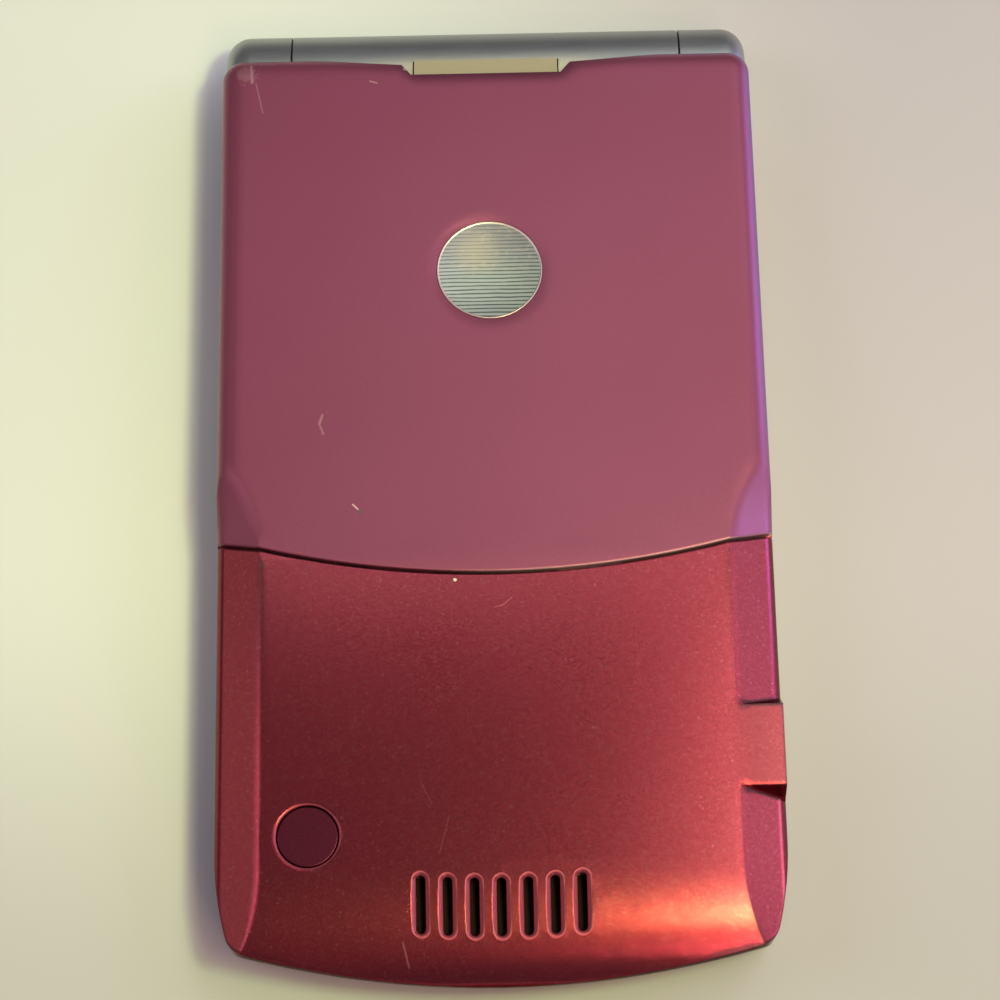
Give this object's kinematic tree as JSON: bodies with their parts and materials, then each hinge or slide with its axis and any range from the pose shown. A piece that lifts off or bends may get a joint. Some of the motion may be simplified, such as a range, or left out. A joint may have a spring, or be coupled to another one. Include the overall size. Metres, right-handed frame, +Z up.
{
  "type": "clamshell mobile phone",
  "caption": "Slim clamshell mobile phone, closed: beveled two-tone back with speaker slots, round port plug, brushed disc, charging socket and barrel hinge.",
  "frame": {"origin": "middle of the closed phone's footprint, on the plane of the flip's outer face, which lies on the table", "axes": "+X across the phone to the side with the charging socket, +Y along it to the hinge, +Z up out of the battery side"},
  "size_m": [0.0538, 0.098, 0.0139],
  "materials": {
    "plum_metal": "satin plum paint",
    "red_plastic": "metallic red paint over plastic",
    "red_shell": "metallic red paint",
    "side_key": "painted",
    "bezel": "satin black",
    "clear_window": "polished dark window",
    "display": "dark display panel",
    "camera": "black",
    "circuit_board": "solder mask",
    "speaker": "drawn steel",
    "mesh": "woven black",
    "bumper": "soft",
    "keypad": "etched satin",
    "chassis": "cast light alloy",
    "shield": "bright tin plate",
    "gold_contact": "gold plate",
    "antenna_strip": "copper strip",
    "rubber_plug": "soft red rubber",
    "battery_label": "bare label film",
    "hinge_metal": "satin grey",
    "hinge_steel": "turned steel",
    "latch_metal": "polished",
    "medallion_metal": "brushed",
    "microphone": "can",
    "motor_steel": "plated"
  },
  "bodies": {
    "flip": {"flip_cover": "red_shell", "flip_frame": "hinge_metal", "flip_bezel": "bezel", "flip_bumpers": "bumper", "main_display_window": "clear_window", "main_display": "display", "outer_window": "clear_window", "outer_display": "display", "camera_module": "camera", "flip_circuit_board": "circuit_board", "earpiece": "speaker", "earpiece_grille": "mesh", "hinge_cam_shaft": "hinge_steel", "hinge_bushing": "hinge_steel"},
    "keypad_half": {"front_housing": "red_shell", "keypad_frame": "keypad", "keypad_board": "circuit_board", "rear_chassis": "chassis", "main_circuit_board": "circuit_board", "shield_cans": "shield", "charging_socket": "shield", "antenna_cover": "red_plastic", "test_port_plug": "rubber_plug", "battery": "battery_label", "battery_contacts": "gold_contact", "hinge_barrel": "hinge_metal", "hinge_module": "hinge_steel", "loudspeaker": "speaker", "speaker_mesh": "mesh", "microphone": "microphone", "antenna": "antenna_strip", "vibration_motor": "motor_steel", "housing_screws": "motor_steel"},
    "battery_cover": {"battery_cover": "plum_metal", "cover_medallion": "medallion_metal"},
    "cover_latch": {"cover_latch": "latch_metal"},
    "vibration_weight": {"vibration_weight": "motor_steel"},
    "key_1": {"key_1": "keypad"},
    "key_2": {"key_2": "keypad"},
    "key_3": {"key_3": "keypad"},
    "key_4": {"key_4": "keypad"},
    "key_5": {"key_5": "keypad"},
    "key_6": {"key_6": "keypad"},
    "key_7": {"key_7": "keypad"},
    "key_8": {"key_8": "keypad"},
    "key_9": {"key_9": "keypad"},
    "key_star": {"key_star": "keypad"},
    "key_0": {"key_0": "keypad"},
    "key_hash": {"key_hash": "keypad"},
    "send_key": {"send_key": "keypad"},
    "clear_key": {"clear_key": "keypad"},
    "end_key": {"end_key": "keypad"},
    "soft_key_left": {"soft_key_left": "keypad"},
    "menu_key": {"menu_key": "keypad"},
    "soft_key_right": {"soft_key_right": "keypad"},
    "navigation_ring": {"navigation_ring": "keypad"},
    "select_key": {"select_key": "keypad"},
    "volume_rocker": {"volume_rocker": "side_key"},
    "smart_key": {"smart_key": "side_key"},
    "voice_key": {"voice_key": "side_key"}
  },
  "joints": [
    {"name": "flip_hinge", "type": "hinge", "parent": "flip", "child": "keypad_half", "pos_m": [0, 0.0441, 0.00605], "axis": [-1, 0, 0], "range_deg": [0, 155]},
    {"name": "battery_cover_tilt", "type": "hinge", "parent": "keypad_half", "child": "battery_cover", "pos_m": [0, -0.0106, 0.0139], "axis": [1, 0, 0], "range_deg": [0, 60]},
    {"name": "cover_latch_slide", "type": "slide", "parent": "keypad_half", "child": "cover_latch", "axis": [0, 0, -1], "range_m": [0, 0.0008], "stiffness_N_per_m": 600},
    {"name": "vibration_weight_spin", "type": "hinge", "parent": "keypad_half", "child": "vibration_weight", "pos_m": [0, -0.0349, 0.01035], "axis": [1, 0, 0], "continuous": true},
    {"name": "key_1_press", "type": "slide", "parent": "keypad_half", "child": "key_1", "axis": [0, 0, 1], "range_m": [0, 0.00025], "stiffness_N_per_m": 900},
    {"name": "key_2_press", "type": "slide", "parent": "keypad_half", "child": "key_2", "axis": [0, 0, 1], "range_m": [0, 0.00025], "stiffness_N_per_m": 900},
    {"name": "key_3_press", "type": "slide", "parent": "keypad_half", "child": "key_3", "axis": [0, 0, 1], "range_m": [0, 0.00025], "stiffness_N_per_m": 900},
    {"name": "key_4_press", "type": "slide", "parent": "keypad_half", "child": "key_4", "axis": [0, 0, 1], "range_m": [0, 0.00025], "stiffness_N_per_m": 900},
    {"name": "key_5_press", "type": "slide", "parent": "keypad_half", "child": "key_5", "axis": [0, 0, 1], "range_m": [0, 0.00025], "stiffness_N_per_m": 900},
    {"name": "key_6_press", "type": "slide", "parent": "keypad_half", "child": "key_6", "axis": [0, 0, 1], "range_m": [0, 0.00025], "stiffness_N_per_m": 900},
    {"name": "key_7_press", "type": "slide", "parent": "keypad_half", "child": "key_7", "axis": [0, 0, 1], "range_m": [0, 0.00025], "stiffness_N_per_m": 900},
    {"name": "key_8_press", "type": "slide", "parent": "keypad_half", "child": "key_8", "axis": [0, 0, 1], "range_m": [0, 0.00025], "stiffness_N_per_m": 900},
    {"name": "key_9_press", "type": "slide", "parent": "keypad_half", "child": "key_9", "axis": [0, 0, 1], "range_m": [0, 0.00025], "stiffness_N_per_m": 900},
    {"name": "key_star_press", "type": "slide", "parent": "keypad_half", "child": "key_star", "axis": [0, 0, 1], "range_m": [0, 0.00025], "stiffness_N_per_m": 900},
    {"name": "key_0_press", "type": "slide", "parent": "keypad_half", "child": "key_0", "axis": [0, 0, 1], "range_m": [0, 0.00025], "stiffness_N_per_m": 900},
    {"name": "key_hash_press", "type": "slide", "parent": "keypad_half", "child": "key_hash", "axis": [0, 0, 1], "range_m": [0, 0.00025], "stiffness_N_per_m": 900},
    {"name": "send_key_press", "type": "slide", "parent": "keypad_half", "child": "send_key", "axis": [0, 0, 1], "range_m": [0, 0.00025], "stiffness_N_per_m": 900},
    {"name": "clear_key_press", "type": "slide", "parent": "keypad_half", "child": "clear_key", "axis": [0, 0, 1], "range_m": [0, 0.00025], "stiffness_N_per_m": 900},
    {"name": "end_key_press", "type": "slide", "parent": "keypad_half", "child": "end_key", "axis": [0, 0, 1], "range_m": [0, 0.00025], "stiffness_N_per_m": 900},
    {"name": "soft_key_left_press", "type": "slide", "parent": "keypad_half", "child": "soft_key_left", "axis": [0, 0, 1], "range_m": [0, 0.00025], "stiffness_N_per_m": 900},
    {"name": "menu_key_press", "type": "slide", "parent": "keypad_half", "child": "menu_key", "axis": [0, 0, 1], "range_m": [0, 0.00025], "stiffness_N_per_m": 900},
    {"name": "soft_key_right_press", "type": "slide", "parent": "keypad_half", "child": "soft_key_right", "axis": [0, 0, 1], "range_m": [0, 0.00025], "stiffness_N_per_m": 900},
    {"name": "navigation_ring_press", "type": "slide", "parent": "keypad_half", "child": "navigation_ring", "axis": [0, 0, 1], "range_m": [0, 0.00025], "stiffness_N_per_m": 900},
    {"name": "select_key_press", "type": "slide", "parent": "keypad_half", "child": "select_key", "axis": [0, 0, 1], "range_m": [0, 0.00025], "stiffness_N_per_m": 900},
    {"name": "volume_rocker_press", "type": "slide", "parent": "flip", "child": "volume_rocker", "axis": [-1, 0, 0], "range_m": [0, 0.0003], "stiffness_N_per_m": 900},
    {"name": "smart_key_press", "type": "slide", "parent": "flip", "child": "smart_key", "axis": [-1, 0, 0], "range_m": [0, 0.0003], "stiffness_N_per_m": 900},
    {"name": "voice_key_press", "type": "slide", "parent": "flip", "child": "voice_key", "axis": [1, 0, 0], "range_m": [0, 0.0003], "stiffness_N_per_m": 900}
  ]
}
